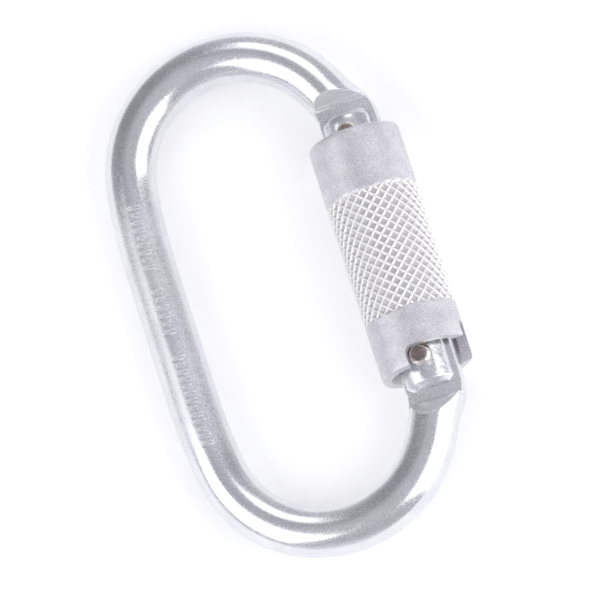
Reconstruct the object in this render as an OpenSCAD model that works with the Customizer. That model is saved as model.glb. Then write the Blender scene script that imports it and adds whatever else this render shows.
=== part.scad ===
// Locking carabiner, oval, with a pinned gate and a spring-loaded quarter-turn sleeve.
// It lies flat: X is the width (gate at +X), Y the length (hinge at +Y), Z the thickness.
// The origin is the centre of the bounding box.

/* [Oval] */
// Length over the two bows
overall_len = 107.8; // [90:0.1:130]
// Distance between the centrelines of the spine and the gate
bar_spacing = 45.6; // [38:0.1:55]
// Diameter of the bar
bar_d = 10; // [8.5:0.1:10.8]
// Length of the straight stretch in the middle of the spine
straight_len = 26; // [20:0.5:28]
// Turn of the gentle arc on either side of that stretch, in degrees
side_turn = 7.5; // [6:0.5:9]

/* [Body ends] */
// Thickness of the flat tongues at the hinge and at the nose
tongue_t = 4.2; // [3.5:0.05:5.1]
// Width of the flattened ends in the plane of the loop
head_w = 11.9; // [11.5:0.1:12.2]
// Thickness of the nose's hook lip above the latch pin
lip_t = 1.5; // [1.2:0.1:1.6]

/* [Gate] */
// Diameter of the gate rod
rod_d = 10.7; // [10:0.1:12.9]
// Diameter of the shanks of the hinge rivet and the latch pin
shank_d = 3.4; // [3:0.1:4.1]
// Diameter of the peened heads of the rivet and the pin
pin_head_d = 4.4; // [4.2:0.1:5]
// Angle through which the gate swings, in degrees
gate_swing = 38; // [25:1:38]

/* [Sleeve] */
// Space between the gate rod and the bore of the sleeve
spring_space = 1.85; // [1.7:0.05:2.1]
// Thickness of the sleeve's wall
sleeve_wall = 1.95; // [1.7:0.05:2.4]
// Depth of the notch in the nose end of the sleeve
notch_depth = 3.9; // [3.5:0.1:4.5]
// Diameter of the wire of the sleeve's torsion spring
sleeve_wire_d = 1; // [0.8:0.1:1.1]
// Number of turns of the torsion spring
sleeve_turns = 7; // [4:1:9]

/* [Gate spring] */
// Diameter of the wire of the gate spring
gate_wire_d = 0.5; // [0.4:0.05:0.6]
// Number of turns of the gate spring
gate_turns = 12; // [8:1:16]

/* [Hidden] */
$fn = 96;

// Clearances
run_gap = 0.05;
slot_gap = 0.15;
// The gentle arcs and the necks are a little thinner than the bar where they meet it
join_step = 0.12;
// and they reach a little way inside it
join_len = 1;
swing_gap = 0.3;
cut_over = 1;

// Radii
bar_r = bar_d / 2;
rod_r = rod_d / 2;
sleeve_bore_r = rod_r + spring_space;
sleeve_r = sleeve_bore_r + sleeve_wall;
shank_r = shank_d / 2;
pin_head_r = pin_head_d / 2;
tongue_half = tongue_t / 2;
slot_half = tongue_half + slot_gap;

// The oval: a straight stretch, a gentle arc and a bow, tangent to each other
half_len = overall_len / 2;
half_spacing = bar_spacing / 2;
straight_half = straight_len / 2;
line_half = half_len - bar_r;
arc_step = (line_half - straight_half - half_spacing) / (sin(side_turn) + cos(side_turn) - 1);
bow_r = half_spacing - arc_step * (1 - cos(side_turn));
side_r = bow_r + arc_step;
bow_y = line_half - bow_r;

// The oval's centre is off the origin by half of what the sleeve is wider than the bar
oval_x = (bar_r - sleeve_r) / 2;
spine_x = oval_x - half_spacing;
gate_x = oval_x + half_spacing;

// Places along the gate, all counted from the ends of the oval
pivot_y = half_len - 29.3;
latch_y = -(half_len - 31.85);
rod_top_y = pivot_y + 4.8;
rod_nose_y = -(half_len - 25.6);
notch_y = notch_depth - pivot_y;
tip_y = latch_y + shank_r + slot_gap + lip_t;
tip_reach = pivot_y - tip_y;
latch_reach = pivot_y - latch_y;
keyway_y = pivot_y - sqrt(pow(tip_reach, 2) - pow(sleeve_r, 2)) + slot_gap;

// The flattened ends
head_r = head_w / 2;
head_shift = 0.35;
head_x = gate_x + head_shift;
head_end_y = half_len - 23.4;
head_taper = 2.5;
head_tip_r = bar_r - 0.4;
elbow_y = half_len - 24.5;
neck_in = 2.5;
neck_r = head_r - 0.65;
step_half = tongue_half + 0.85;
hinge_step_y = half_len - 22.5;
nose_step_y = half_len - 22.9;
hinge_ramp = [half_len - 22, half_len - 19.5];
nose_ramp = [half_len - 23.1, half_len - 19.7];
ramp_rise = bar_r + 0.3 - step_half;
// Where the tangent from the elbow meets the bow
elbow_reach = sqrt(pow(head_x - oval_x, 2) + pow(elbow_y - bow_y, 2));
neck_turn = atan2(elbow_y - bow_y, head_x - oval_x) + acos(bow_r / elbow_reach);
neck_len = sqrt(pow(elbow_reach, 2) - pow(bow_r, 2));
neck_slope = (neck_r - bar_r + join_step) / (neck_len + neck_in);

// The involute cam at the end of the hinge tongue pushes the plunger at an even rate
cam_r = 2.2;
cam_drop = 4.6;
cam_over = 2;
tongue_round_r = 6;
fork_floor_y = pivot_y - 6.7;
nose_floor_y = tip_y + 2 * swing_gap;

// Gate rod details
rod_chamfer = 1;
rod_round = 2;
head_seat = rod_r - 0.95;
head_proud = 0.7;
head_bevel = 0.35;
groove_r = rod_r - 0.45;

// Plunger and gate spring, in a bore beside the axis of the rod
plunger_r = 1.5;
plunger_top_y = pivot_y - cam_drop - run_gap;
plunger_len = 5.5;
stem_r = 0.65;
stem_len = 4;
gate_bore_y = fork_floor_y - 18.9;
gate_coil_r = 1.1;

// Bushes, springs and stops inside the sleeve
bush_top_y = pivot_y - 13.6;
bush_h = 5;
low_bush_y = keyway_y + 1.5;
low_bush_h = 5.5;
clip_t = 0.8;
clip_gap = 0.1;
clip_out_r = rod_r + 0.45;
coil_r = sleeve_bore_r - run_gap - 0.25 - sleeve_wire_d / 2;
leg_in = 2.5;
stop_y = low_bush_y + low_bush_h / 2;
stop_r = 1;
stop_in = 2.6;
stop_out = sleeve_bore_r + 0.75;
groove_out_r = sleeve_bore_r + 0.95;
lock_turn = 90;
stop_half = asin((stop_r + 2 * run_gap) / sleeve_bore_r);

// Sleeve edges
sleeve_chamfer = 0.8;
sleeve_inner_chamfer = 0.6;
notch_side = 2.2;
notch_round = 1.3;

steel = [0.78, 0.79, 0.82];
satin = [0.74, 0.74, 0.76];
plain = [0.42, 0.37, 0.35];
spring_steel = [0.55, 0.56, 0.6];
bush_bronze = [0.72, 0.56, 0.33];

// Turns a child that stands on +Z so that it points along +Y
module along_y() {
  rotate([-90, 0, 0]) children();
}

module at_gate(y = 0) {
  translate([gate_x, y, 0]) children();
}

// Swept wire: a ring of points round each point of a route, joined to the next ring
wire_sides = 8;

function unit(v) = v / norm(v);

function heading(route, i) =
  unit(route[min(i + 1, len(route) - 1)] - route[max(i - 1, 0)]);

function wire_ring(centre, forward, r) =
  let (side = unit(cross(forward, abs(forward[2]) > 0.9 ? [centre[0], centre[1], 0] : [0, 0, 1])),
       up = cross(forward, side))
  [for (k = [0:wire_sides - 1])
    centre + r * (cos(k * 360 / wire_sides) * side + sin(k * 360 / wire_sides) * up)];

module wire(route, r) {
  rings = len(route);
  points = [for (i = [0:rings - 1]) each wire_ring(route[i], heading(route, i), r)];
  sides = [for (i = [0:rings - 2], k = [0:wire_sides - 1])
    let (a = i * wire_sides + k, b = i * wire_sides + (k + 1) % wire_sides)
    each [[a, a + wire_sides, b + wire_sides], [a, b + wire_sides, b]]];
  start_cap = [for (k = [0:wire_sides - 1]) k];
  end_cap = [for (k = [wire_sides - 1:-1:0]) (rings - 1) * wire_sides + k];
  polyhedron(points, concat([start_cap], sides, [end_cap]));
}

function coil_route(r, z0, z1, turns, steps) =
  [for (i = [0:turns * steps])
    [r * cos(i * 360 / steps), r * sin(i * 360 / steps), z0 + (z1 - z0) * i / (turns * steps)]];

// Half of one end of the body, drawn with the end of the oval towards +Y
module blank_end() {
  translate([head_x, 0, 0]) along_y() {
    translate([0, 0, tip_reach - pivot_y]) cylinder(h = head_end_y - tip_reach + pivot_y, r = head_r);
    translate([0, 0, head_end_y]) cylinder(h = head_taper, r1 = head_r, r2 = head_tip_r);
  }
  translate([head_x, elbow_y, 0]) rotate([0, 0, neck_turn])
    along_y() translate([0, 0, -neck_in])
      cylinder(h = neck_in + neck_len + join_len, r1 = neck_r, r2 = bar_r - join_step - neck_slope * join_len);
}

// What is milled away above the tongue, the step and the ramp
module ramp_cut(step_y, ramp) {
  far_z = 2 * bar_r;
  slope = (ramp[1] - ramp[0]) / ramp_rise;
  outline = [[0, tongue_half], [step_y, tongue_half], [step_y, step_half], [ramp[0], step_half],
             [ramp[0] + slope * (far_z - step_half), far_z], [0, far_z]];
  for (side = [0, 1]) mirror([0, 0, side])
    translate([gate_x + far_z, 0, 0]) rotate([0, -90, 0])
      linear_extrude(2 * far_z) polygon([for (p = outline) [p[1], p[0]]]);
}

// Outline of the hinge tongue about the hinge: cam, flat and rounded corner
module hinge_outline() {
  cam = [for (i = [0:14])
    let (turn = (gate_swing + cam_over) * i / 14, reach = cam_drop + cam_r * turn * PI / 180)
    [-cam_r * cos(turn) - reach * sin(turn), cam_r * sin(turn) - reach * cos(turn)]];
  flat_turn = acos(cam_drop / tongue_round_r);
  corner = [for (i = [0:10])
    let (turn = flat_turn + (90 - flat_turn) * i / 10)
    [tongue_round_r * sin(turn), -tongue_round_r * cos(turn)]];
  polygon(concat([[-2 * head_r, hinge_step_y], [-2 * head_r, cam[14][1]]],
    [for (i = [14:-1:0]) cam[i]], corner,
    [[tongue_round_r, 2], [2 * head_r, 3], [2 * head_r, hinge_step_y]]));
}

// The slot of the hook follows the arc that the latch pin makes about the hinge
module hook_slot() {
  slot_r = shank_r + slot_gap;
  translate([0, pivot_y, -bar_r]) intersection() {
    difference() {
      cylinder(h = bar_d, r = latch_reach + slot_r, $fn = 360);
      translate([0, 0, -cut_over]) cylinder(h = bar_d + 2 * cut_over, r = latch_reach - slot_r, $fn = 360);
    }
    translate([-2 * head_r, -latch_reach - 2 * slot_r, 0]) cube([2 * head_r, 6 * slot_r, bar_d]);
  }
  translate([0, latch_y, -bar_r]) cylinder(h = bar_d, r = slot_r);
}

module hinge_end() {
  difference() {
    blank_end();
    ramp_cut(hinge_step_y, hinge_ramp);
    at_gate() difference() {
      translate([-2 * head_r - cut_over, -half_len, -bar_r])
        cube([4 * head_r + 2 * cut_over, half_len + hinge_step_y - cut_over, bar_d]);
      translate([0, pivot_y, -bar_r - cut_over]) linear_extrude(bar_d + 2 * cut_over) hinge_outline();
    }
    at_gate(pivot_y) cylinder(h = bar_d, r = shank_r + run_gap, center = true);
  }
}

module nose_end() {
  difference() {
    mirror([0, 1, 0]) difference() {
      blank_end();
      ramp_cut(nose_step_y, nose_ramp);
    }
    at_gate() hook_slot();
  }
}

module side_arc() {
  join_turn = asin(join_len / side_r);
  translate([spine_x + side_r, straight_half, 0]) rotate([0, 0, 180 - side_turn - join_turn])
    rotate_extrude(angle = side_turn + 2 * join_turn, $fn = 360) translate([side_r, 0]) circle(bar_r - join_step);
}

module bow() {
  translate([oval_x, bow_y, 0]) rotate([0, 0, neck_turn])
    rotate_extrude(angle = 180 - side_turn - neck_turn, $fn = 180) translate([bow_r, 0]) circle(bar_r);
}

module body() {
  color(steel) {
    translate([spine_x, 0, 0]) along_y() cylinder(h = straight_len, r = bar_r, center = true);
    for (end = [0, 1]) mirror([0, end, 0]) {
      side_arc();
      bow();
    }
    hinge_end();
    nose_end();
  }
}

// The gate rod: forked at both ends, bored for the plunger, grooved for the circlips
module rod_outline() {
  rounding = [for (i = [0:5])
    [rod_r - rod_round + rod_round * cos(18 * i), rod_top_y - rod_round + rod_round * sin(18 * i)]];
  polygon(concat([[0, rod_nose_y], [rod_r - rod_chamfer, rod_nose_y], [rod_r, rod_nose_y + rod_chamfer]],
    rounding, [[0, rod_top_y]]));
}

module ring_cut(y, inner_r, outer_r, h) {
  along_y() translate([0, 0, y]) difference() {
    cylinder(h = h, r = outer_r);
    translate([0, 0, -cut_over]) cylinder(h = h + 2 * cut_over, r = inner_r);
  }
}

module head_seats(y) {
  translate([0, y, 0]) {
    cylinder(h = 2 * rod_d, r = shank_r, center = true);
    for (side = [0, 1]) mirror([0, 0, side]) translate([0, 0, head_seat]) cylinder(h = rod_r, r = pin_head_r);
  }
}

module gate_rod() {
  color(satin) at_gate() difference() {
    along_y() rotate_extrude() rod_outline();
    translate([-rod_r - cut_over, fork_floor_y, -slot_half]) cube([rod_d + 2 * cut_over, pivot_y, 2 * slot_half]);
    translate([-rod_r - cut_over, nose_floor_y - pivot_y, -slot_half])
      cube([rod_d + 2 * cut_over, pivot_y, 2 * slot_half]);
    head_seats(pivot_y);
    head_seats(latch_y);
    translate([-cam_r, gate_bore_y, 0]) along_y()
      cylinder(h = fork_floor_y - gate_bore_y + cut_over, r = plunger_r + run_gap);
    for (y = [bush_top_y + clip_gap, bush_top_y - bush_h - clip_gap - clip_t])
      ring_cut(y, groove_r, rod_d, clip_t);
    translate([0, stop_y, 0]) mirror([0, 0, 1]) translate([0, 0, stop_in]) cylinder(h = rod_r, r = stop_r);
  }
}

module peened_pin(y) {
  top = rod_r + head_proud;
  at_gate(y) {
    cylinder(h = 2 * head_seat, r = shank_r, center = true);
    for (side = [0, 1]) mirror([0, 0, side]) {
      translate([0, 0, head_seat]) cylinder(h = top - head_bevel - head_seat, r = pin_head_r);
      translate([0, 0, top - head_bevel])
        cylinder(h = head_bevel, r1 = pin_head_r, r2 = pin_head_r - head_bevel);
    }
  }
}

module hinge_rivet() {
  color(plain) peened_pin(pivot_y);
}

module latch_pin() {
  color(plain) peened_pin(latch_y);
}

module gate_plunger() {
  color(spring_steel) at_gate() translate([-cam_r, plunger_top_y, 0]) rotate([90, 0, 0]) {
    cylinder(h = plunger_len, r = plunger_r);
    cylinder(h = plunger_len + stem_len, r = stem_r);
  }
}

module gate_spring() {
  wire_r = gate_wire_d / 2;
  length = plunger_top_y - plunger_len - gate_bore_y;
  color(spring_steel) at_gate() translate([-cam_r, gate_bore_y, 0]) along_y()
    wire(coil_route(gate_coil_r, wire_r + run_gap, length - wire_r - run_gap, gate_turns, 12), wire_r);
}

module sleeve_outline() {
  polygon([[sleeve_bore_r, -pivot_y], [sleeve_r - sleeve_chamfer, -pivot_y],
    [sleeve_r, sleeve_chamfer - pivot_y], [sleeve_r, pivot_y - sleeve_chamfer],
    [sleeve_r - sleeve_chamfer, pivot_y], [sleeve_bore_r + sleeve_inner_chamfer, pivot_y],
    [sleeve_bore_r, pivot_y - sleeve_inner_chamfer]]);
}

// The notch runs from the front round to the outside; one upper corner is rounded
module notch() {
  size = 2 * sleeve_r;
  top = notch_y - notch_round;
  translate([0, 0, -notch_side]) {
    translate([-notch_side, -2 * pivot_y, 0]) cube([size, 2 * pivot_y + top, size]);
    translate([notch_round - notch_side, -2 * pivot_y, 0]) cube([size, 2 * pivot_y + notch_y, size]);
    translate([notch_round - notch_side, top, 0]) cylinder(h = size, r = notch_round);
  }
}

module sleeve() {
  color(satin) at_gate() difference() {
    along_y() rotate_extrude() sleeve_outline();
    notch();
    translate([0, -2 * pivot_y, -slot_half - run_gap])
      cube([2 * sleeve_r, 2 * pivot_y + keyway_y, 2 * (slot_half + run_gap)]);
    along_y() translate([0, 0, stop_y]) rotate([0, 0, 90 - stop_half])
      rotate_extrude(angle = lock_turn + 2 * stop_half)
        translate([sleeve_bore_r - cut_over, -stop_r - 2 * run_gap])
          square([groove_out_r - sleeve_bore_r + cut_over, 2 * stop_r + 4 * run_gap]);
  }
}

module bush(y, h, inner_r, outer_r) {
  along_y() translate([0, 0, y]) difference() {
    cylinder(h = h, r = outer_r);
    translate([0, 0, -cut_over]) cylinder(h = h + 2 * cut_over, r = inner_r);
    translate([coil_r, 0, -cut_over]) cylinder(h = h + 2 * cut_over, r = sleeve_wire_d / 2 + run_gap);
  }
}

module upper_bush() {
  color(bush_bronze) at_gate() bush(bush_top_y - bush_h, bush_h, rod_r + run_gap, sleeve_bore_r);
}

module lower_bush() {
  color(bush_bronze) at_gate() difference() {
    bush(low_bush_y, low_bush_h, rod_r, sleeve_bore_r - run_gap);
    translate([0, stop_y, 0]) mirror([0, 0, 1]) cylinder(h = 2 * sleeve_r, r = stop_r);
  }
}

module sleeve_spring() {
  wire_r = sleeve_wire_d / 2;
  low = low_bush_y + low_bush_h;
  high = bush_top_y - bush_h;
  coil = coil_route(coil_r, low + wire_r + slot_gap, high - 2 * clip_t, sleeve_turns, 16);
  route = concat([[coil_r, 0, low - leg_in]], coil, [[coil_r, 0, high + leg_in]]);
  color(spring_steel) at_gate() along_y() wire(route, wire_r);
}

module stop_pin() {
  color(spring_steel) at_gate(stop_y) mirror([0, 0, 1])
    translate([0, 0, stop_in]) cylinder(h = stop_out - stop_in, r = stop_r);
}

module rod_circlips() {
  open_turn = 70;
  color(spring_steel) at_gate() for (y = [bush_top_y + clip_gap, bush_top_y - bush_h - clip_gap - clip_t])
    along_y() translate([0, 0, y]) rotate([0, 0, 180 + open_turn / 2])
      rotate_extrude(angle = 360 - open_turn) translate([groove_r, 0]) square([clip_out_r - groove_r, clip_t]);
}

body();
gate_rod();
hinge_rivet();
latch_pin();
gate_plunger();
gate_spring();
sleeve();
upper_bush();
lower_bush();
sleeve_spring();
stop_pin();
rod_circlips();
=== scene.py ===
"""Looks of the locking carabiner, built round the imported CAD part. Lengths are in metres."""
import math

import bmesh
import bpy
import numpy as np
from mathutils import Matrix, Vector


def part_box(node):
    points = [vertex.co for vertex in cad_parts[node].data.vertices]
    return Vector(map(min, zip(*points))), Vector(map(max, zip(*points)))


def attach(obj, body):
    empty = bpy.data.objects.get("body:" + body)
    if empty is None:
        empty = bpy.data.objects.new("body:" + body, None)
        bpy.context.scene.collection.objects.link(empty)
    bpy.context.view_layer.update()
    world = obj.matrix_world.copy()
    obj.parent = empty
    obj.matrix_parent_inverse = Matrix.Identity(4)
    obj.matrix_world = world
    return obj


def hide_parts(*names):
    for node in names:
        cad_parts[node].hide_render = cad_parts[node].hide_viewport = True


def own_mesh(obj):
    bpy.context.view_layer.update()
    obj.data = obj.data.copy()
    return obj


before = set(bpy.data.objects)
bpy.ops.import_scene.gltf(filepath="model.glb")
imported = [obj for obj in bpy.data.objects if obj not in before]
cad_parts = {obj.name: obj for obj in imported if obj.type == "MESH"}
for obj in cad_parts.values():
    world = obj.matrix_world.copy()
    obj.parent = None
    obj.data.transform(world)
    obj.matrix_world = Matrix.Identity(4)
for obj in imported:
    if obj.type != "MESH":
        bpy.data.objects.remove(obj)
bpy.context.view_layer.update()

MM = 0.001

# ---- Sizes, read from the CAD frame -------------------------------------------------

body_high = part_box("body")[1]
sleeve_low, sleeve_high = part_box("sleeve")
rod_low, rod_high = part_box("gate_rod")
hinge_low, hinge_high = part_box("hinge_rivet")
latch_low, latch_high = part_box("latch_pin")

HALF_LEN = body_high.y
SLEEVE_R = (sleeve_high.z - sleeve_low.z) / 2
SLEEVE_HALF = sleeve_high.y
GATE_X = sleeve_high.x - SLEEVE_R
ROD_R = (rod_high.z - rod_low.z) / 2
PIVOT_Y = (hinge_low.y + hinge_high.y) / 2
LATCH_Y = (latch_low.y + latch_high.y) / 2
PIN_HEAD_R = (hinge_high.y - hinge_low.y) / 2
PIN_TOP = hinge_high.z

BAR_R = 5 * MM
HALF_SPACING = 22.8 * MM
OVAL_X = GATE_X - HALF_SPACING
SPINE_X = OVAL_X - HALF_SPACING
STRAIGHT_HALF = 13 * MM
SIDE_TURN = math.radians(7.5)
SHANK_R = 1.7 * MM
SLOT_GAP = 0.15 * MM
TONGUE_HALF = 2.1 * MM
STEP_HALF = 2.95 * MM
HEAD_R = 5.95 * MM
HEAD_SHIFT = 0.35 * MM
SLEEVE_BORE_R = 7.2 * MM
PIN_SEAT = ROD_R - 0.95 * MM
HOLE_LEN = 14 * MM
CUT_HALF = 7 * MM
MERGE = 2e-6


def clamp(value):
    return min(max(value, 0), 1)


def ease(t):
    """From 0 to 1, level at both ends."""
    return t * t * (3 - 2 * t)


def set_stops(ramp, stops):
    """Gives a colour ramp its stops, each a place and a colour."""
    elements = ramp.color_ramp.elements
    while len(elements) < len(stops):
        elements.new(0.5)
    for element, (place, colour) in zip(elements, stops):
        element.position = place
        element.color = (*colour, 1)


def material(name):
    """A new node material and its principled shader."""
    mat = bpy.data.materials.new(name)
    mat.use_nodes = True
    shader = next(n for n in mat.node_tree.nodes if n.type == "BSDF_PRINCIPLED")
    return mat, shader


class Nodes:
    """Short names for the nodes of one material."""

    def __init__(self, mat):
        self.tree = mat.node_tree
        self.coords = self.add("ShaderNodeTexCoord").outputs["Object"]

    def add(self, kind, **values):
        node = self.tree.nodes.new(kind)
        for key, value in values.items():
            setattr(node, key, value)
        return node

    def link(self, source, target):
        self.tree.links.new(source, target)
        return target

    def noise(self, scale, detail=3.0, roughness=0.6, coords=None):
        node = self.add("ShaderNodeTexNoise")
        node.inputs["Scale"].default_value = scale
        node.inputs["Detail"].default_value = detail
        node.inputs["Roughness"].default_value = roughness
        self.link(coords or self.coords, node.inputs["Vector"])
        return node.outputs["Fac"]

    def ramp(self, value, *stops):
        node = self.add("ShaderNodeValToRGB")
        set_stops(node, stops)
        self.link(value, node.inputs["Fac"])
        return node.outputs["Color"]

    def remap(self, value, low, high, from_low=0.0, from_high=1.0):
        node = self.add("ShaderNodeMapRange")
        node.inputs["From Min"].default_value = from_low
        node.inputs["From Max"].default_value = from_high
        node.inputs["To Min"].default_value = low
        node.inputs["To Max"].default_value = high
        self.link(value, node.inputs["Value"])
        return node.outputs["Result"]

    def math(self, operation, a, b):
        node = self.add("ShaderNodeMath", operation=operation)
        for socket, value in zip(node.inputs, (a, b)):
            if isinstance(value, (int, float)):
                socket.default_value = value
            else:
                self.link(value, socket)
        return node.outputs["Value"]

    def mix(self, factor, a, b):
        node = self.add("ShaderNodeMix", data_type="RGBA")
        for socket, value in ((node.inputs["Factor"], factor), (node.inputs["A"], a), (node.inputs["B"], b)):
            if isinstance(value, (tuple, float, int)):
                socket.default_value = (*value, 1) if isinstance(value, tuple) else value
            else:
                self.link(value, socket)
        return node.outputs["Result"]

    def attribute(self, name):
        return self.add("ShaderNodeAttribute", attribute_name=name).outputs["Fac"]

    def edges(self, radius):
        """Where the surface has an edge, from 0 to 1, and its normal with that edge rounded."""
        rounded = self.add("ShaderNodeBevel", samples=6)
        rounded.inputs["Radius"].default_value = radius
        dot = self.add("ShaderNodeVectorMath", operation="DOT_PRODUCT")
        self.link(rounded.outputs["Normal"], dot.inputs[0])
        self.link(self.add("ShaderNodeNewGeometry").outputs["Normal"], dot.inputs[1])
        return self.remap(dot.outputs["Value"], 1.0, 0.0, 0.94, 0.993), rounded.outputs["Normal"]

    def bump(self, height, strength, distance, normal=None):
        node = self.add("ShaderNodeBump")
        node.inputs["Strength"].default_value = strength
        node.inputs["Distance"].default_value = distance
        self.link(height, node.inputs["Height"])
        if normal:
            self.link(normal, node.inputs["Normal"])
        return node.outputs["Normal"]


# ---- Materials ----------------------------------------------------------------------


def zinc(name, light, dark, rough, speckle=0.6, cast=0.35, relief=0.14, lumps=0.0):
    """Zinc plate: a speckle, a faint colour cast, edges painted bright (partly a painted highlight, partly
    worn plate) and dull milled faces.
    """
    mat, shader = material(name)
    n = Nodes(mat)
    clouds = n.noise(180, 4)
    grains = n.noise(3000, 2, 0.65)
    edge_wear_and_highlight, rounded = n.edges(0.24 * MM)
    milled = n.attribute("milled")
    tone = n.ramp(n.math("ADD", n.math("MULTIPLY", clouds, 1 - speckle), n.math("MULTIPLY", grains, speckle)),
                  (0.33, dark), (0.64, light))
    tint = n.ramp(n.noise(70, 2), (0.35, (0.80, 0.79, 0.88)), (0.5, (0.82, 0.83, 0.84)),
                  (0.68, (0.83, 0.85, 0.79)))
    # Edges lose metal sheen so that the painted edge highlight shows; milled faces lose a little too.
    bare_and_edge_highlight = n.math("ADD", n.math("MULTIPLY", edge_wear_and_highlight, 0.5), n.math("MULTIPLY", milled, 0.25))
    n.link(n.math("SUBTRACT", 1.0, bare_and_edge_highlight), shader.inputs["Metallic"])
    plate = n.mix(cast, tone, tint)
    # Painted highlight: every edge, convex or hollow, is painted near-white, partly standing for worn plate.
    n.link(n.mix(n.math("MULTIPLY", edge_wear_and_highlight, 0.9), plate, (0.98, 0.98, 0.97)), shader.inputs["Base Color"])
    sheen = n.remap(grains, rough * 0.7, rough * 1.4, 0.35, 0.65)
    for mark, more in (("dulled", 0.12), ("milled", 0.14)):
        sheen = n.math("ADD", sheen, n.math("MULTIPLY", n.attribute(mark), more))
    n.link(sheen, shader.inputs["Roughness"])
    coarse = n.noise(2600, 1, 0.5)
    fine = n.bump(n.noise(7000, 2, 0.7), relief, 0.03 * MM, rounded)
    normal = n.bump(coarse, relief, 0.06 * MM, fine)
    if lumps:
        normal = n.bump(n.noise(620, 1, 0.4), lumps, 0.25 * MM, normal)
    n.link(normal, shader.inputs["Normal"])
    return mat


def knurled_zinc():
    """Satin zinc whose knurl is painted by the height stored on the mesh: painted shade in the pits and a
    painted highlight on the crests.
    """
    mat, shader = material("knurled_zinc")
    n = Nodes(mat)
    grains = n.noise(4200, 3, 0.75)
    mottle = n.math("ADD", n.math("MULTIPLY", n.noise(260, 4), 0.25), n.math("MULTIPLY", grains, 0.75))
    plain = n.ramp(mottle, (0.40, (0.58, 0.57, 0.60)), (0.60, (0.87, 0.86, 0.885)))
    # Painted shade in the knurl's pits and painted highlight on its crests, by height.
    relief = n.ramp(n.attribute("crest"), (0.0, (0.64, 0.63, 0.63)), (0.35, (0.76, 0.75, 0.74)),
                    (0.8, (0.96, 0.95, 0.93)))
    shader.inputs["Metallic"].default_value = 1.0
    n.link(n.mix(n.attribute("knurled"), plain, relief), shader.inputs["Base Color"])
    n.link(n.remap(grains, 0.40, 0.62, 0.35, 0.65), shader.inputs["Roughness"])
    n.link(n.bump(grains, 0.3, 0.04 * MM), shader.inputs["Normal"])
    return mat


def peened_steel():
    """Unplated rivet: a brown, dull end face inside a ring painted bright, partly a painted highlight on the
    rim, partly burnished where the hammer spread it.
    """
    mat, shader = material("peened_steel")
    n = Nodes(mat)
    rim = n.attribute("rim")
    speckle = n.noise(2600, 3)
    face = n.ramp(speckle, (0.35, (0.22, 0.175, 0.165)), (0.65, (0.40, 0.33, 0.31)))
    ring = n.ramp(speckle, (0.3, (0.70, 0.66, 0.62)), (0.7, (0.90, 0.86, 0.82)))
    shader.inputs["Metallic"].default_value = 1.0
    # The ring's colour is a painted highlight on the rim, partly burnished metal.
    n.link(n.mix(rim, face, ring), shader.inputs["Base Color"])
    n.link(n.remap(rim, 0.5, 0.22), shader.inputs["Roughness"])
    n.link(n.bump(speckle, 0.5, 0.05 * MM), shader.inputs["Normal"])
    return mat


def turned_metal(name, light, dark, rough):
    """Metal with fine turning lines round the gate's axis."""
    mat, shader = material(name)
    n = Nodes(mat)
    stretch = n.add("ShaderNodeMapping")
    stretch.inputs["Scale"].default_value = (1, 40, 1)
    n.link(n.coords, stretch.inputs["Vector"])
    lines = n.noise(250, 2, 0.6, stretch.outputs["Vector"])
    shader.inputs["Metallic"].default_value = 1.0
    n.link(n.ramp(lines, (0.3, dark), (0.7, light)), shader.inputs["Base Color"])
    n.link(n.remap(lines, rough * 0.8, rough * 1.3, 0.3, 0.7), shader.inputs["Roughness"])
    n.link(n.bump(lines, 0.3, 0.03 * MM), shader.inputs["Normal"])
    return mat


BRIGHT = zinc("bright_zinc", (0.87, 0.87, 0.90), (0.60, 0.60, 0.63), 0.2)
MILLED = zinc("milled_zinc", (0.80, 0.81, 0.84), (0.66, 0.67, 0.70), 0.26, relief=0.04, lumps=0.4)
KNURLED = knurled_zinc()
PEENED = peened_steel()
SPRING = turned_metal("spring_wire", (0.62, 0.63, 0.67), (0.42, 0.43, 0.47), 0.3)
BRONZE = turned_metal("bush_bronze", (0.80, 0.60, 0.34), (0.62, 0.44, 0.23), 0.33)
GROUND = turned_metal("ground_steel", (0.72, 0.73, 0.76), (0.5, 0.51, 0.54), 0.25)

# ---- Mesh helpers -------------------------------------------------------------------


def mesh_object(name, points, faces, smooth=True):
    mesh = bpy.data.meshes.new(name)
    mesh.from_pydata([tuple(p) for p in points], [], faces)
    mesh.update()
    obj = bpy.data.objects.new(name, mesh)
    bpy.context.scene.collection.objects.link(obj)
    if smooth:
        mesh.shade_smooth()
    return obj


def loft(name, rings, closed=False):
    """Joins rings of points, each with as many points, into a closed skin."""
    count, sides = len(rings), len(rings[0])
    points = [p for ring in rings for p in ring]
    faces = []
    for i in range(count if closed else count - 1):
        a, b = i * sides, (i + 1) % count * sides
        faces += [(a + k, a + (k + 1) % sides, b + (k + 1) % sides, b + k) for k in range(sides)]
    if not closed:
        faces.append(tuple(reversed(range(sides))))
        faces.append(tuple(range((count - 1) * sides, count * sides)))
    return outward(mesh_object(name, points, faces))


def outward(obj):
    work = bmesh.new()
    work.from_mesh(obj.data)
    bmesh.ops.recalc_face_normals(work, faces=work.faces)
    work.to_mesh(obj.data)
    work.free()
    return obj


def lathe(name, outline, centre, sides=96):
    """Turns an outline of (radius, height) about an upright axis through the centre."""
    rings = []
    for k in range(sides):
        turn = 2 * math.pi * k / sides
        c, s = math.cos(turn), math.sin(turn)
        rings.append([(centre[0] + r * c, centre[1] + r * s, centre[2] + t) for r, t in outline])
    return clean(loft(name, rings, closed=True))


def prism(name, outline, low, high, axis="Z"):
    """An outline pushed along an axis. For Z it holds (x, y), for X (y, z)."""
    ends = []
    for t in (low, high):
        ends.append([(x, y, t) if axis == "Z" else (t, x, y) for x, y in outline])
    return loft(name, ends)


def block(name, low, high):
    outline = [(low[0], low[1]), (high[0], low[1]), (high[0], high[1]), (low[0], high[1])]
    return prism(name, outline, low[2], high[2])


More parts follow.
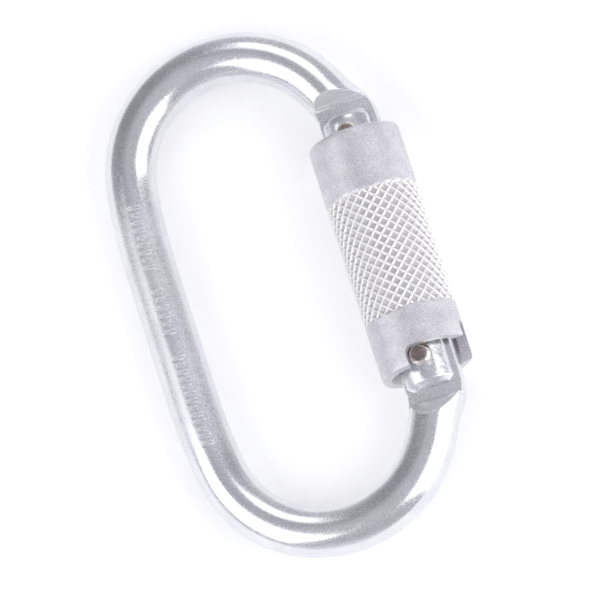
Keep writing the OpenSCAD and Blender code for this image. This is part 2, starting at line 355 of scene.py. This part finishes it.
def rod_cutter(name, centre, radius, length, sides=64):
    outline = [(centre[0] + radius * math.cos(2 * math.pi * k / sides),
                centre[1] + radius * math.sin(2 * math.pi * k / sides)) for k in range(sides)]
    return prism(name, outline, centre[2] - length / 2, centre[2] + length / 2)


def apply_modifiers(obj):
    with bpy.context.temp_override(object=obj, active_object=obj, selected_objects=[obj]):
        for modifier in list(obj.modifiers):
            bpy.ops.object.modifier_apply(modifier=modifier.name)
    return obj


def boolean(obj, cutter, operation="DIFFERENCE"):
    """Cuts or joins one solid with another and removes the tool."""
    modifier = obj.modifiers.new("cut", "BOOLEAN")
    modifier.operation = operation
    modifier.solver = "MANIFOLD"
    modifier.object = cutter
    apply_modifiers(obj)
    bpy.data.objects.remove(cutter)
    return obj


def clean(obj, distance=1e-7):
    work = bmesh.new()
    work.from_mesh(obj.data)
    bmesh.ops.remove_doubles(work, verts=work.verts, dist=distance)
    bmesh.ops.dissolve_degenerate(work, edges=work.edges, dist=distance)
    bmesh.ops.recalc_face_normals(work, faces=work.faces)
    work.to_mesh(obj.data)
    work.free()
    return obj


def soften(obj, width, angle=32, segments=3):
    """Rounds the sharp edges a little, as plating and tumbling do, and smooths the rest."""
    clean(obj, MERGE)
    bevel = obj.modifiers.new("edges", "BEVEL")
    bevel.width = width
    bevel.segments = segments
    bevel.limit_method = "ANGLE"
    bevel.angle_limit = math.radians(angle)
    bevel.use_clamp_overlap = True
    apply_modifiers(obj)
    obj.data.shade_smooth()
    obj.data.set_sharp_from_angle(angle=math.radians(38))
    return obj


def mark_milled(obj):
    """Marks the large flats and ramps that a mill left near the gate, which are duller than the bar."""
    layer = obj.data.attributes.new("milled", "FLOAT", "FACE")
    for face, value in zip(obj.data.polygons, layer.data):
        near_gate = face.center.x > 12 * MM and abs(face.center.y) < 37 * MM
        ramp = abs(face.normal.x) < 0.02 and abs(face.normal.y) > 0.3
        if near_gate and face.area > 0.5 * MM * MM and (ramp or abs(face.normal.z) > 0.9995):
            value.value = 1.0 if ramp else 0.35


def finish_piece(obj, mat, body, slot, *nodes):
    obj.data.materials.clear()
    obj.data.materials.append(mat)
    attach(obj, body)
    if nodes:
        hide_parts(*nodes)
    return obj


# ---- The bar ------------------------------------------------------------------------

line_half = HALF_LEN - BAR_R
arc_step = (line_half - STRAIGHT_HALF - HALF_SPACING) / (math.sin(SIDE_TURN) + math.cos(SIDE_TURN) - 1)
BOW_R = HALF_SPACING - arc_step * (1 - math.cos(SIDE_TURN))
SIDE_R = BOW_R + arc_step
BOW_Y = line_half - BOW_R
HEAD_X = GATE_X + HEAD_SHIFT
ELBOW_Y = HALF_LEN - 24.5 * MM
elbow_reach = math.hypot(HEAD_X - OVAL_X, ELBOW_Y - BOW_Y)
NECK_TURN = math.atan2(ELBOW_Y - BOW_Y, HEAD_X - OVAL_X) + math.acos(BOW_R / elbow_reach)
TIP_REACH = PIVOT_Y - (LATCH_Y + SHANK_R + SLOT_GAP + 1.5 * MM)
TIP_Y = TIP_REACH - PIVOT_Y

SKIN_STEP = 0.6 * MM
SMOOTHINGS = 10
SWELL_FROM = 9.5 * MM
SWELL_LEN = 6.5 * MM
# How far in from each end, in mm, the tongue's step and the mill's ramp lie: step, foot, top.
HINGE_MILL = (22.5, 22.0, 19.5)
NOSE_MILL = (22.9, 23.1, 19.7)
# Groups of stamped ticks: the first one's place in mm, how many there are, and their pitch in mm.
STAMP_GROUPS = ((25.0, 9, 1.55), (7.5, 6, 1.7), (-6.5, 13, 1.5))
STAMP_TURN = math.radians(5)


def half_route():
    """Centreline of the bar from the middle of the spine to the gate, round the +Y bow."""
    points = [(SPINE_X, t * STRAIGHT_HALF) for t in np.linspace(0, 1, 18)]
    for t in np.linspace(0, SIDE_TURN, 24)[1:]:
        points.append((SPINE_X + SIDE_R - SIDE_R * math.cos(t), STRAIGHT_HALF + SIDE_R * math.sin(t)))
    for t in np.linspace(math.pi - SIDE_TURN, NECK_TURN, 96)[1:]:
        points.append((OVAL_X + BOW_R * math.cos(t), BOW_Y + BOW_R * math.sin(t)))
    neck_top = np.array(points[-1])
    elbow = np.array((HEAD_X, ELBOW_Y))
    points += [tuple(neck_top + (elbow - neck_top) * t) for t in np.linspace(0, 1, 14)[1:]]
    points += [(HEAD_X, ELBOW_Y + (TIP_Y - ELBOW_Y) * t) for t in np.linspace(0, 1, 24)[1:]]
    return np.array(points)


def resample(points, step):
    lengths = np.concatenate(([0], np.cumsum(np.linalg.norm(np.diff(points, axis=0), axis=1))))
    places = np.linspace(0, lengths[-1], int(lengths[-1] / step) + 1)
    return np.stack([np.interp(places, lengths, points[:, k]) for k in (0, 1)], axis=1), places


def bar_mesh(sides=72):
    """The whole bar as one skin, swollen at both ends where the forging is flattened."""
    half = half_route()
    route = np.concatenate((half[::-1] * (1, -1), half[1:]))
    points, places = resample(route, SKIN_STEP)
    for _ in range(SMOOTHINGS):
        points[1:-1] = (points[:-2] + 2 * points[1:-1] + points[2:]) / 4
    tangents = np.gradient(points, axis=0)
    tangents /= np.linalg.norm(tangents, axis=1)[:, None]
    total = places[-1]
    rings = []
    for (x, y), (tx, ty), place in zip(points, tangents, places):
        from_end = min(place, total - place)
        swell = ease(1 - clamp((from_end - SWELL_FROM) / SWELL_LEN))
        radius = BAR_R + (HEAD_R - BAR_R) * swell
        rings.append([(x - ty * radius * math.cos(a), y + tx * radius * math.cos(a), radius * math.sin(a))
                      for a in np.linspace(0, 2 * math.pi, sides, endpoint=False)])
    return loft("body_forging", rings)


def ramp_cutters(step_y, ramp, end):
    """What the mill takes off above and below a tongue, in (y, z)."""
    rise = BAR_R + 0.3 * MM - STEP_HALF
    slope = (ramp[1] - ramp[0]) / rise
    far = 10 * MM
    inner = TIP_Y - 3 * MM
    outline = [(inner, TONGUE_HALF), (step_y, TONGUE_HALF), (step_y, STEP_HALF), (ramp[0], STEP_HALF),
               (ramp[0] + slope * (far - STEP_HALF), far), (inner, far)]
    for side in (1, -1):
        shape = [(end * y, side * z) for y, z in outline]
        yield outward(prism("mill", shape, GATE_X - 9 * MM, GATE_X + 9 * MM, axis="X"))


def arc_points(radius, start, stop, count):
    return [(radius * math.cos(t), radius * math.sin(t)) for t in np.linspace(start, stop, count)]


def hinge_waste(swing=math.radians(40), cam_r=2.2 * MM, drop=4.6 * MM, round_r=6 * MM):
    """What is cut away below the hinge tongue, leaving its cam, flat and rounded corner."""
    cam = []
    for t in np.linspace(0, swing, 25):
        reach = drop + cam_r * t
        cam.append((-cam_r * math.cos(t) - reach * math.sin(t), cam_r * math.sin(t) - reach * math.cos(t)))
    flat = math.acos(drop / round_r)
    corner = [(round_r * math.sin(t), -round_r * math.cos(t)) for t in np.linspace(flat, math.pi / 2, 16)]
    far = 9 * MM
    shoulder = [(round_r, 2 * MM), (far, 2.8 * MM)]
    outline = [(-far, cam[-1][1])] + cam[::-1] + corner + shoulder + [(far, -far), (-far, -far)]
    return prism("waste", [(GATE_X + x, PIVOT_Y + y) for x, y in outline], -CUT_HALF, CUT_HALF)


def hook_cutter():
    """The hook's slot: it follows the arc that the latch pin makes about the hinge."""
    slot_r = SHANK_R + SLOT_GAP
    reach = PIVOT_Y - LATCH_Y
    mouth = math.asin(9 * MM / reach)
    outline = []
    for t in np.linspace(0, -mouth, 24):
        outline.append(((reach + slot_r) * math.sin(t), -(reach + slot_r) * math.cos(t)))
    for t in np.linspace(-mouth, 0, 24):
        outline.append(((reach - slot_r) * math.sin(t), -(reach - slot_r) * math.cos(t)))
    for t in np.linspace(math.pi / 2, -math.pi / 2, 20)[1:-1]:
        outline.append((slot_r * math.cos(t), -reach + slot_r * math.sin(t)))
    return outward(prism("hook", [(GATE_X + x, PIVOT_Y + y) for x, y in outline], -CUT_HALF, CUT_HALF))


def dull_spine(obj):
    """Marks the straight spine, whose plate is duller than the plate on the bows."""
    layer = obj.data.attributes.new("dulled", "FLOAT", "POINT")
    values = []
    for v in obj.data.vertices:
        along = clamp((30 * MM - abs(v.co.y)) / (8 * MM))
        across = clamp((OVAL_X - v.co.x) / (10 * MM))
        values.append(along * across)
    layer.data.foreach_set("value", values)


def stamped_marks(obj):
    """Plain ticks stamped along the spine in three groups. They are no letters or numbers."""
    width, depth, tall, short = 0.55 * MM, 0.26 * MM, 2.5 * MM, 1.5 * MM
    for first, count, pitch in STAMP_GROUPS:
        for k in range(count):
            y = (first - k * pitch) * MM
            height = short if k % 3 == 1 else tall
            past = max(abs(y) - STRAIGHT_HALF, 0)
            centre = SPINE_X + past * past / (2 * SIDE_R)
            cutter = prism("stamp", [(-height / 2, -width / 2), (height / 2, -width / 2),
                                     (height / 2, width / 2), (-height / 2, width / 2)],
                           BAR_R - depth - 0.06 * MM, BAR_R + 1 * MM)
            cutter.data.transform(Matrix.Translation((centre, y, 0)) @ Matrix.Rotation(STAMP_TURN, 4, "Y"))
            boolean(obj, outward(cutter))


def make_body():
    obj = bar_mesh()
    for end, mill in ((1, HINGE_MILL), (-1, NOSE_MILL)):
        step_y, *ramp = [HALF_LEN - place * MM for place in mill]
        for cutter in ramp_cutters(step_y, ramp, end):
            boolean(obj, cutter)
    boolean(obj, outward(hinge_waste()))
    boolean(obj, outward(rod_cutter("hole", (GATE_X, PIVOT_Y, 0), SHANK_R + 0.05 * MM, HOLE_LEN)))
    boolean(obj, hook_cutter())
    soften(obj, 0.26 * MM)
    stamped_marks(obj)
    soften(obj, 0.15 * MM, angle=50, segments=2)
    mark_milled(obj)
    dull_spine(obj)
    finish_piece(obj, BRIGHT, "frame", "bright_steel", "body")


# ---- The gate rod -------------------------------------------------------------------


def make_rod():
    top, nose = rod_high.y, rod_low.y
    chamfer, rounding = 1 * MM, 2 * MM
    outline = [(0, nose), (ROD_R - chamfer, nose), (ROD_R, nose + chamfer)]
    outline += [(ROD_R - rounding + x, top - rounding + y)
                for x, y in arc_points(rounding, 0, math.pi / 2, 12)]
    outline.append((0, top))
    sides = 96
    rings = []
    for r, y in outline[1:-1]:
        rings.append([(GATE_X + r * math.cos(a), y, r * math.sin(a))
                      for a in np.linspace(0, 2 * math.pi, sides, endpoint=False)])
    obj = outward(loft("gate_rod_forked", rings))
    slot = TONGUE_HALF + SLOT_GAP
    fork_floor = PIVOT_Y - 6.7 * MM
    nose_floor = 0.6 * MM - TIP_Y
    wide = ROD_R + 2 * MM
    for low, high in ((fork_floor, top + 2 * MM), (nose - 2 * MM, nose_floor)):
        boolean(obj, outward(block("slot", (GATE_X - wide, low, -slot), (GATE_X + wide, high, slot))))
    for y in (PIVOT_Y, LATCH_Y):
        boolean(obj, outward(rod_cutter("hole", (GATE_X, y, 0), SHANK_R, HOLE_LEN)))
        for side in (1, -1):
            centre = (GATE_X, y, side * (PIN_SEAT + 2 * MM))
            boolean(obj, outward(rod_cutter("seat", centre, PIN_HEAD_R + 0.02 * MM, 4 * MM)))
    soften(obj, 0.18 * MM)
    finish_piece(obj, MILLED, "gate", "bright_steel", "gate_rod")


def rim_attribute(obj, centre, inner, outer):
    """Marks the ring of a peened head that is painted bright as the rim's highlight: 0 on the face, 1 on the
    ring and the side.
    """
    layer = obj.data.attributes.new("rim", "FLOAT", "POINT")
    values = []
    for v in obj.data.vertices:
        reach = math.hypot(v.co.x - centre[0], v.co.y - centre[1])
        values.append(ease(clamp((reach - inner) / (outer - inner))))
    layer.data.foreach_set("value", values)


def make_pin(name, node, y):
    """A rivet hammered a little off centre, so that its rim, painted bright as a highlight, is wider on one
    side.
    """
    seat = PIN_SEAT
    head = PIN_HEAD_R
    drift = Vector((-0.20 * MM, 0.17 * MM, 0))
    outline = [(0.0, PIN_TOP - 0.2 * MM)]
    for t in np.linspace(0.1, 0.7, 12):
        outline.append((head * t, PIN_TOP - 0.2 * MM * (1 - (t / 0.78) ** 4)))
    outline += [(head * 0.76, PIN_TOP - 0.02 * MM), (head * 0.83, PIN_TOP - 0.07 * MM),
                (head * 0.92, PIN_TOP - 0.22 * MM), (head, PIN_TOP - 0.45 * MM), (head, seat + 0.05 * MM),
                (head * 0.97, seat), (SHANK_R, seat)]
    outline += [(r, -z) for r, z in reversed(outline)]
    obj = lathe(name, outline, (GATE_X, y, 0))
    rim_attribute(obj, (GATE_X, y), head * 0.66, head * 0.8)
    for v in obj.data.vertices:
        reach = math.hypot(v.co.x - GATE_X, v.co.y - y)
        if abs(v.co.z) > PIN_TOP - 0.4 * MM:
            v.co += drift * (1 - min(reach / head, 1) ** 3)
    obj.data.set_sharp_from_angle(angle=math.radians(50))
    finish_piece(obj, PEENED, "gate", "rivet_steel", node)


# ---- The sleeve ---------------------------------------------------------------------

KNURL_LOW = -13.2 * MM
KNURL_HIGH = 12.1 * MM
KNURL_STARTS = 25
KNURL_ROWS = 11.5
KNURL_DEPTH = 0.34 * MM
KNURL_FADE = 0.5 * MM
RIDGE_HALF = 0.07
RIDGE_FLANK = 0.13
CELL_STEPS = 16


def knurl_height(around, along):
    """Height of the diamond knurl from 0, pit, to 1, crest. Both are counted in cells."""
    best = 0.0
    for line in (around + along, around - along):
        off = abs(line - round(line))
        best = max(best, 1 - clamp((off - RIDGE_HALF) / RIDGE_FLANK))
    return ease(best)


def sleeve_rows():
    """The sleeve's outline from the nose's end up, as (radius, y, whether it is knurled)."""
    edge = 0.8 * MM
    rows = []

    def row(radius, y, knurled=False):
        rows.append((radius, y, knurled))

    bottom, top = -SLEEVE_HALF, SLEEVE_HALF
    row(SLEEVE_BORE_R, bottom + 0.3 * MM)
    row(SLEEVE_BORE_R + 0.3 * MM, bottom)
    for x, y in arc_points(edge, -math.pi / 2, 0, 7):
        row(SLEEVE_R - edge + x, bottom + edge + y)
    for y in np.linspace(bottom + 2 * MM, KNURL_LOW - 0.3 * MM, 10):
        row(SLEEVE_R, y)
    steps = int(KNURL_ROWS * CELL_STEPS)
    for y in np.linspace(KNURL_LOW, KNURL_HIGH, steps + 1):
        row(SLEEVE_R, y, True)
    for y in np.linspace(KNURL_HIGH + 0.3 * MM, top - 2 * MM, 10):
        row(SLEEVE_R, y)
    for x, y in arc_points(edge, 0, math.pi / 2, 7):
        row(SLEEVE_R - edge + x, top - edge + y)
    row(SLEEVE_BORE_R + 0.6 * MM, top)
    row(SLEEVE_BORE_R, top - 0.6 * MM)
    return rows


def make_sleeve():
    sides = KNURL_STARTS * CELL_STEPS
    turns = np.linspace(0, 2 * math.pi, sides, endpoint=False)
    rings, crests, knurled = [], [], []
    for radius, y, is_knurled in sleeve_rows():
        ring = []
        for k, turn in enumerate(turns):
            height, fade = 1.0, 0.0
            if is_knurled:
                along = (y - KNURL_LOW) / (KNURL_HIGH - KNURL_LOW) * KNURL_ROWS
                fade = min(1.0, min(y - KNURL_LOW, KNURL_HIGH - y) / KNURL_FADE)
                height = 1 - (1 - knurl_height(k / CELL_STEPS, along)) * fade
            r = radius - KNURL_DEPTH * (1 - height)
            ring.append((GATE_X + r * math.cos(turn), y, -r * math.sin(turn)))
            crests.append(height)
            knurled.append(fade)
        rings.append(ring)
    obj = loft("sleeve_knurled", rings[::-1], closed=True)
    count = len(rings)
    order = [i for ring in range(count - 1, -1, -1) for i in range(ring * sides, (ring + 1) * sides)]
    for name, values in (("crest", crests), ("knurled", knurled)):
        layer = obj.data.attributes.new(name, "FLOAT", "POINT")
        layer.data.foreach_set("value", [values[i] for i in order])
    cut_sleeve(obj)
    finish_piece(obj, KNURLED, "lock_sleeve", "satin_steel", "sleeve")


def cut_sleeve(obj):
    """The notch from the front round to the outside, and the keyway that lets the nose out."""
    notch_y = 3.9 * MM - SLEEVE_HALF
    side, rounding, far = 2.2 * MM, 1.3 * MM, 14 * MM
    low = -SLEEVE_HALF - 2 * MM
    front = [(far, low), (far, notch_y)]
    front += [(rounding - side + x, notch_y - rounding + y)
              for x, y in arc_points(rounding, math.pi / 2, math.pi, 8)]
    front.append((-side, low))
    boolean(obj, outward(prism("notch", [(GATE_X + x, y) for x, y in front], -side, far)))
    half = TONGUE_HALF + SLOT_GAP + 0.05 * MM
    key_y = PIVOT_Y - math.sqrt(TIP_REACH ** 2 - SLEEVE_R ** 2) + SLOT_GAP
    boolean(obj, outward(block("keyway", (GATE_X, low, -half), (GATE_X + far, key_y, half))))
    obj.data.shade_smooth()
    obj.data.set_sharp_from_angle(angle=math.radians(50))


# ---- Springs and small parts --------------------------------------------------------


def tube(name, route, radius, sides=16):
    route = np.array(route)
    ahead = np.gradient(route, axis=0)
    ahead /= np.linalg.norm(ahead, axis=1)[:, None]
    rings = []
    side = None
    for centre, forward in zip(route, ahead):
        if side is None:
            side = np.cross(forward, (0.3, 0.1, 1.0))
        side = side - forward * np.dot(side, forward)
        side /= np.linalg.norm(side)
        up = np.cross(forward, side)
        rings.append([tuple(centre + radius * (math.cos(a) * side + math.sin(a) * up))
                      for a in np.linspace(0, 2 * math.pi, sides, endpoint=False)])
    return outward(loft(name, rings))


def make_spring(name, node, centre_x, radius, wire_r, low, high, turns, leg=0.0, reach=0.0):
    """A coil whose straight legs, if it has them, run on by leg below and by reach above."""
    steps = 40
    points = []
    for i in range(int(turns * steps) + 1):
        turn = 2 * math.pi * i / steps
        y = low + (high - low) * i / (turns * steps)
        points.append((centre_x + radius * math.cos(turn), y, -radius * math.sin(turn)))
    if leg:
        x = centre_x + radius
        points = [(x, low - leg + leg * t * 0.9, 0) for t in np.linspace(0, 1, 8)] + points
        points += [(x, high + reach * (0.1 + 0.9 * t), 0) for t in np.linspace(0, 1, 8)]
    obj = tube(name, points, wire_r)
    obj.data.set_sharp_from_angle(angle=math.radians(60))
    return finish_piece(obj, SPRING, "gate", "spring_steel", node)


def make_springs():
    low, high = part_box("gate_spring")
    wire = 0.25 * MM
    centre = (low.x + high.x) / 2
    coil = make_spring("gate_spring_coil", "gate_spring", centre, (high.x - low.x) / 2 - wire, wire,
                       low.y + wire, high.y - wire, 12)
    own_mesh(coil)
    low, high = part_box("sleeve_spring")
    wire, leg = 0.5 * MM, 2.5 * MM
    coil_top = high.y - leg - 1.6 * MM
    bush_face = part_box("upper_bush")[0].y
    make_spring("sleeve_spring_coil", "sleeve_spring", GATE_X, (high.z - low.z) / 2 - wire, wire,
                low.y + leg + wire + SLOT_GAP, coil_top, 7, leg=leg, reach=bush_face - SLOT_GAP - coil_top)


def paint_cad(nodes, mat):
    for name in nodes:
        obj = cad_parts[name]
        obj.data.materials.clear()
        obj.data.materials.append(mat)


# ---- Camera, light and floor --------------------------------------------------------

VIEW_WIDTH = 116.6 * MM
CAMERA_DISTANCE = 2.3
SENSOR = 36
BOX_DISTANCE = 0.8
COOL = 1.02
# Brightness by the angle to an axis, from -1, facing away, to 1.
TENT = ((-0.5, 0.75), (-0.1, 0.60), (0.15, 0.58), (0.35, 0.60), (0.6, 0.56), (1.0, 0.60))
UP_SHADE = ((-0.98, 1.4), (-0.93, 1.3), (-0.8, 0.95), (-0.6, 0.88), (0.0, 0.96), (0.6, 0.88), (1.0, 1.0))
# Softboxes: degrees from the camera's axis, degrees round it, size in metres and brightness.
SOFTBOXES = (("left_box", 51, 204, (0.84, 0.72), 1.45),
             ("right_box", 53, 1, (0.84, 1.0), 1.45),
             ("top_box", 57, 97, (0.42, 0.40), 1.2))


def add_camera():
    """The camera looks from the nose's side, a little from the gate's side, and is rolled."""
    azimuth, tilt, roll = math.radians(7.2), math.radians(15), math.radians(17.8)
    right0 = Vector((math.cos(azimuth), 0, -math.sin(azimuth)))
    up0 = Vector((math.sin(tilt) * math.sin(azimuth), math.cos(tilt), math.sin(tilt) * math.cos(azimuth)))
    towards = right0.cross(up0)
    right = math.cos(roll) * right0 - math.sin(roll) * up0
    up = math.sin(roll) * right0 + math.cos(roll) * up0
    aim = Vector((OVAL_X, 0, 0)) + right * (3.7 * MM) - up * (1.2 * MM)
    data = bpy.data.cameras.new("camera")
    data.sensor_width = SENSOR
    data.lens = SENSOR * CAMERA_DISTANCE / VIEW_WIDTH
    data.clip_end = 20
    camera = bpy.data.objects.new("camera", data)
    turn = Matrix((right, up, towards)).transposed().to_4x4()
    camera.matrix_world = Matrix.Translation(aim + towards * CAMERA_DISTANCE) @ turn
    bpy.context.scene.collection.objects.link(camera)
    bpy.context.scene.camera = camera
    return towards, right, up


def add_floor():
    """A pale floor that touches the sleeve and the spine, on which the carabiner settles."""
    drop = (SLEEVE_R - BAR_R) / (GATE_X - SPINE_X)
    tilt = math.atan(drop)
    size = 0.9
    outline = [(-size, -size, 0), (size, -size, 0), (size, size, 0), (-size, size, 0)]
    floor = mesh_object("floor", outline, [(0, 1, 2, 3)], smooth=False)
    contact = Vector((GATE_X - SLEEVE_R * math.sin(tilt), 0, -SLEEVE_R * math.cos(tilt)))
    floor.matrix_world = Matrix.Translation(contact) @ Matrix.Rotation(tilt, 4, "Y")
    mat, shader = material("floor_paper")
    n = Nodes(mat)
    paper = n.ramp(n.noise(9, 3), (0.3, (0.88, 0.88, 0.885)), (0.7, (0.90, 0.90, 0.90)))
    n.link(paper, shader.inputs["Base Color"])
    shader.inputs["Roughness"].default_value = 0.9
    shader.inputs["Emission Color"].default_value = (1, 1, 1, 1)
    shader.inputs["Emission Strength"].default_value = 0.26
    floor.data.materials.append(mat)


def area_light(name, place, size, radiance):
    """A softbox that faces the object, of a given brightness."""
    data = bpy.data.lights.new(name, "AREA")
    data.shape = "RECTANGLE"
    data.size, data.size_y = size
    data.energy = radiance * math.pi * size[0] * size[1]
    light = bpy.data.objects.new(name, data)
    turn = place.to_track_quat("Z", "Y").to_matrix().to_4x4()
    light.matrix_world = Matrix.Translation(place) @ turn
    bpy.context.scene.collection.objects.link(light)


def direction_ramp(tree, coords, axis, stops):
    """Brightness by the angle between a direction of the world and an axis, from -1 to 1."""
    dot = tree.nodes.new("ShaderNodeVectorMath")
    dot.operation = "DOT_PRODUCT"
    dot.inputs[1].default_value = axis.normalized()
    remap = tree.nodes.new("ShaderNodeMapRange")
    remap.inputs["From Min"].default_value = -1
    ramp = tree.nodes.new("ShaderNodeValToRGB")
    tree.links.new(coords, dot.inputs[0])
    tree.links.new(dot.outputs["Value"], remap.inputs["Value"])
    tree.links.new(remap.outputs["Result"], ramp.inputs["Fac"])
    set_stops(ramp, [((place + 1) / 2, (value, value, value * COOL)) for place, value in stops])
    return ramp.outputs["Color"]


def add_light(towards, right, up):
    """A light tent with two darker patches, and softboxes at the left, the right and the top."""
    world = bpy.data.worlds.new("studio")
    bpy.context.scene.world = world
    world.use_nodes = True
    tree = world.node_tree
    background = next(n for n in tree.nodes if n.type == "BACKGROUND")
    coords = tree.nodes.new("ShaderNodeTexCoord").outputs["Generated"]
    tent = direction_ramp(tree, coords, towards, TENT)
    shades = (
        (up, UP_SHADE),
        (0.35 * towards - 0.75 * right + 0.5 * up, ((0.75, 1.0), (0.95, 0.62))),
        (0.45 * towards + 0.65 * right + 0.6 * up, ((0.85, 1.0), (0.97, 0.8))))
    for axis, stops in shades:
        both = tree.nodes.new("ShaderNodeMix")
        both.data_type = "RGBA"
        both.blend_type = "MULTIPLY"
        both.inputs["Factor"].default_value = 1
        tree.links.new(tent, both.inputs["A"])
        tree.links.new(direction_ramp(tree, coords, axis, stops), both.inputs["B"])
        tent = both.outputs["Result"]
    tree.links.new(tent, background.inputs["Color"])
    background.inputs["Strength"].default_value = 1.0
    for name, angle, around, size, radiance in SOFTBOXES:
        off, turn = math.radians(angle), math.radians(around)
        place = towards * math.cos(off) + (right * math.cos(turn) + up * math.sin(turn)) * math.sin(off)
        area_light(name, place * BOX_DISTANCE, size, radiance)


# ---- Assembly -----------------------------------------------------------------------

add_floor()
add_light(*add_camera())
bpy.context.scene.view_settings.view_transform = "Standard"

make_body()
make_rod()
make_pin("hinge_rivet_peened", "hinge_rivet", PIVOT_Y)
make_pin("latch_pin_peened", "latch_pin", LATCH_Y)
make_sleeve()
make_springs()
paint_cad(["upper_bush", "lower_bush"], BRONZE)
paint_cad(["gate_plunger", "stop_pin", "rod_circlips"], GROUND)
